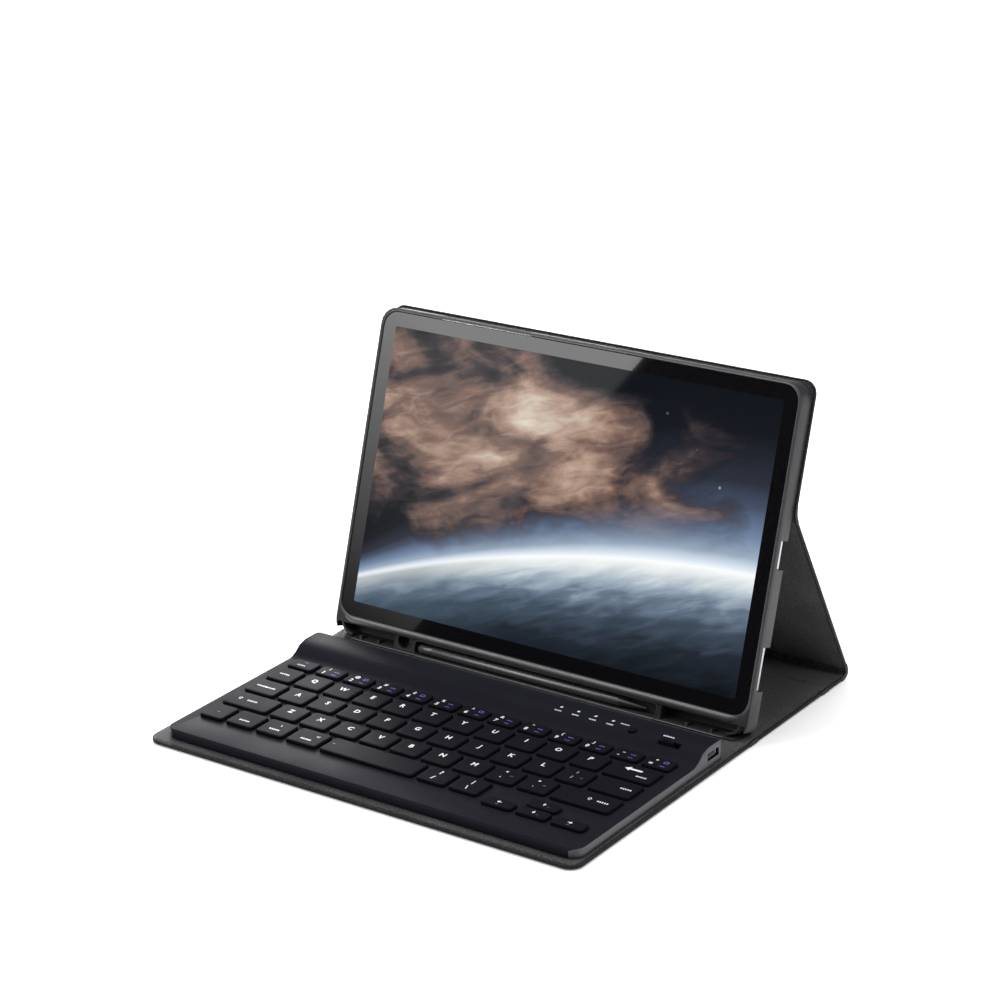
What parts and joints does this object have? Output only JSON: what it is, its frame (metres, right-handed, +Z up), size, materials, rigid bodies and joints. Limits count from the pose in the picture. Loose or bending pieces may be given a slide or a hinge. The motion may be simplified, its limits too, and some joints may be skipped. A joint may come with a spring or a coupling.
{
  "type": "tablet keyboard case",
  "caption": "Folding leather tablet case stood up as a laptop, with a tray shell holding a tablet and pen, and a slim removable keyboard on its front panel.",
  "frame": {"origin": "on the table, below the middle of the standing case", "axes": "+X along the width to the viewer's right, +Y from the keyboard towards the stand, +Z up"},
  "size_m": [0.2524, 0.2432, 0.1673],
  "materials": {
    "outer_leather": "fine pebbled grain, satin",
    "microfibre_lining": "brushed, matte",
    "stiffening_board": "pressed grey board",
    "shell_plastic": "satin flexible plastic",
    "glue_film": "clear glue film",
    "tablet_metal": "fine blasted",
    "cover_glass": "polished, black border",
    "display_panel": "lit picture",
    "battery_wrap": "matte film",
    "circuit_board": "satin",
    "lens_glass": "polished",
    "pen_metal": "satin",
    "pen_tip_plastic": "satin",
    "keyboard_plastic": "fine textured satin",
    "key_plastic": "satin, with pale legends",
    "membrane_film": "printed film",
    "dome_silicone": "translucent silicone",
    "magnet_steel": "nickel plated",
    "foot_rubber": "matte",
    "led_lens": "clear",
    "port_steel": "stamped"
  },
  "bodies": {
    "front_panel": {"front_panel_skin": "outer_leather", "front_panel_board": "stiffening_board", "front_panel_lining": "microfibre_lining", "front_panel_magnets": "magnet_steel", "front_fold_strip": "outer_leather"},
    "middle_panel": {"middle_panel_skin": "outer_leather", "middle_panel_board": "stiffening_board", "middle_panel_lining": "microfibre_lining", "spine_fold_strip": "outer_leather"},
    "spine": {"spine_skin": "outer_leather", "spine_lining": "microfibre_lining", "rear_fold_strip": "outer_leather"},
    "lower_back": {"lower_back_skin": "outer_leather", "lower_back_board": "stiffening_board", "lower_back_lining": "microfibre_lining", "back_fold_strip": "outer_leather"},
    "upper_back": {"upper_back_skin": "outer_leather", "upper_back_board": "stiffening_board", "upper_back_lining": "microfibre_lining", "adhesive_pad": "glue_film", "tray_shell": "shell_plastic", "camera_ring": "shell_plastic"},
    "tablet": {"tablet_housing": "tablet_metal", "tablet_glass": "cover_glass", "tablet_display": "display_panel", "tablet_battery": "battery_wrap", "tablet_mainboard": "circuit_board", "tablet_camera": "lens_glass"},
    "power_button": {"tablet_power_button": "tablet_metal"},
    "volume_rocker": {"tablet_volume_rocker": "tablet_metal"},
    "pen": {"pen_barrel": "pen_metal", "pen_tip": "pen_tip_plastic", "pen_cap": "pen_metal"},
    "keyboard": {"keyboard_top_case": "keyboard_plastic", "keyboard_bottom_case": "keyboard_plastic", "keyboard_membrane": "membrane_film", "keyboard_domes": "dome_silicone", "keyboard_battery": "battery_wrap", "keyboard_circuit_board": "circuit_board", "keyboard_magnets": "magnet_steel", "keyboard_feet": "foot_rubber", "keyboard_charge_port": "port_steel", "keyboard_leds": "led_lens"},
    "keyboard_switch": {"keyboard_power_switch": "key_plastic"},
    "connect_button": {"keyboard_connect_button": "key_plastic"},
    "keys_numbers": {"keys_numbers": "key_plastic"},
    "keys_top_letters": {"keys_top_letters": "key_plastic"},
    "keys_home_letters": {"keys_home_letters": "key_plastic"},
    "keys_bottom_letters": {"keys_bottom_letters": "key_plastic"},
    "keys_modifiers": {"keys_modifiers": "key_plastic"},
    "keys_punctuation": {"keys_punctuation": "key_plastic"},
    "keys_arrows": {"keys_arrows": "key_plastic"},
    "key_tab": {"key_tab": "key_plastic"},
    "key_caps": {"key_caps": "key_plastic"},
    "key_left_shift": {"key_left_shift": "key_plastic"},
    "key_right_shift": {"key_right_shift": "key_plastic"},
    "key_enter": {"key_enter": "key_plastic"},
    "key_backspace": {"key_backspace": "key_plastic"},
    "key_space": {"key_space": "key_plastic"}
  },
  "joints": [
    {"name": "front_fold", "type": "hinge", "parent": "front_panel", "child": "middle_panel", "pos_m": [0, 0.02937, 0.0013], "axis": [1, 0, 0], "range_deg": [-90, 0], "deforming": ["front_fold_strip"]},
    {"name": "spine_fold", "type": "hinge", "parent": "middle_panel", "child": "spine", "pos_m": [0, 0.09738, 0.0013], "axis": [1, 0, 0], "range_deg": [-90, 0], "deforming": ["spine_fold_strip"]},
    {"name": "rear_fold", "type": "hinge", "parent": "spine", "child": "lower_back", "pos_m": [0, 0.12037, 0.0013], "axis": [1, 0, 0], "range_deg": [-116.97, 0], "deforming": ["rear_fold_strip"]},
    {"name": "back_fold", "type": "hinge", "parent": "lower_back", "child": "upper_back", "pos_m": [0, 0.06825, 0.10372], "axis": [1, 0, 0], "range_deg": [0, 45.92], "deforming": ["back_fold_strip"]},
    {"name": "tablet_out", "type": "slide", "parent": "upper_back", "child": "tablet", "axis": [0, -0.9461, 0.3239], "range_m": [0, 0.012]},
    {"name": "pen_out", "type": "slide", "parent": "upper_back", "child": "pen", "axis": [0, -0.9461, 0.3239], "range_m": [0, 0.01]},
    {"name": "keyboard_lift", "type": "slide", "parent": "front_panel", "child": "keyboard", "axis": [0, 0, 1], "range_m": [0, 0.02]},
    {"name": "keyboard_switch_slide", "type": "slide", "parent": "keyboard", "child": "keyboard_switch", "axis": [1, 0, 0], "range_m": [0, 0.0032]},
    {"name": "power_button_press", "type": "slide", "parent": "tablet", "child": "power_button", "axis": [0, -0.3239, -0.9461], "range_m": [0, 0.0004], "stiffness_N_per_m": 1200, "springref_m": -0.0002},
    {"name": "volume_rocker_press", "type": "slide", "parent": "tablet", "child": "volume_rocker", "axis": [0, -0.3239, -0.9461], "range_m": [0, 0.0004], "stiffness_N_per_m": 1200, "springref_m": -0.0002},
    {"name": "connect_button_press", "type": "slide", "parent": "keyboard", "child": "connect_button", "axis": [0, 0, -1], "range_m": [0, 0.0006], "stiffness_N_per_m": 900, "springref_m": -0.0003},
    {"name": "keys_numbers_press", "type": "slide", "parent": "keyboard", "child": "keys_numbers", "axis": [0, 0, -1], "range_m": [0, 0.0012], "stiffness_N_per_m": 3250, "springref_m": -0.0006},
    {"name": "keys_top_letters_press", "type": "slide", "parent": "keyboard", "child": "keys_top_letters", "axis": [0, 0, -1], "range_m": [0, 0.0012], "stiffness_N_per_m": 2500, "springref_m": -0.0006},
    {"name": "keys_home_letters_press", "type": "slide", "parent": "keyboard", "child": "keys_home_letters", "axis": [0, 0, -1], "range_m": [0, 0.0012], "stiffness_N_per_m": 2500, "springref_m": -0.0006},
    {"name": "keys_bottom_letters_press", "type": "slide", "parent": "keyboard", "child": "keys_bottom_letters", "axis": [0, 0, -1], "range_m": [0, 0.0012], "stiffness_N_per_m": 2250, "springref_m": -0.0006},
    {"name": "keys_modifiers_press", "type": "slide", "parent": "keyboard", "child": "keys_modifiers", "axis": [0, 0, -1], "range_m": [0, 0.0012], "stiffness_N_per_m": 1600, "springref_m": -0.0006},
    {"name": "keys_punctuation_press", "type": "slide", "parent": "keyboard", "child": "keys_punctuation", "axis": [0, 0, -1], "range_m": [0, 0.0012], "stiffness_N_per_m": 800, "springref_m": -0.0006},
    {"name": "keys_arrows_press", "type": "slide", "parent": "keyboard", "child": "keys_arrows", "axis": [0, 0, -1], "range_m": [0, 0.0012], "stiffness_N_per_m": 1600, "springref_m": -0.0006},
    {"name": "key_tab_press", "type": "slide", "parent": "keyboard", "child": "key_tab", "axis": [0, 0, -1], "range_m": [0, 0.0012], "stiffness_N_per_m": 400, "springref_m": -0.0006},
    {"name": "key_caps_press", "type": "slide", "parent": "keyboard", "child": "key_caps", "axis": [0, 0, -1], "range_m": [0, 0.0012], "stiffness_N_per_m": 400, "springref_m": -0.0006},
    {"name": "key_left_shift_press", "type": "slide", "parent": "keyboard", "child": "key_left_shift", "axis": [0, 0, -1], "range_m": [0, 0.0012], "stiffness_N_per_m": 400, "springref_m": -0.0006},
    {"name": "key_right_shift_press", "type": "slide", "parent": "keyboard", "child": "key_right_shift", "axis": [0, 0, -1], "range_m": [0, 0.0012], "stiffness_N_per_m": 400, "springref_m": -0.0006},
    {"name": "key_enter_press", "type": "slide", "parent": "keyboard", "child": "key_enter", "axis": [0, 0, -1], "range_m": [0, 0.0012], "stiffness_N_per_m": 400, "springref_m": -0.0006},
    {"name": "key_backspace_press", "type": "slide", "parent": "keyboard", "child": "key_backspace", "axis": [0, 0, -1], "range_m": [0, 0.0012], "stiffness_N_per_m": 400, "springref_m": -0.0006},
    {"name": "key_space_press", "type": "slide", "parent": "keyboard", "child": "key_space", "axis": [0, 0, -1], "range_m": [0, 0.0012], "stiffness_N_per_m": 400, "springref_m": -0.0006}
  ],
  "couplings": [
    {"joint": "back_fold", "follows": "rear_fold", "ratio": -0.39217}
  ]
}
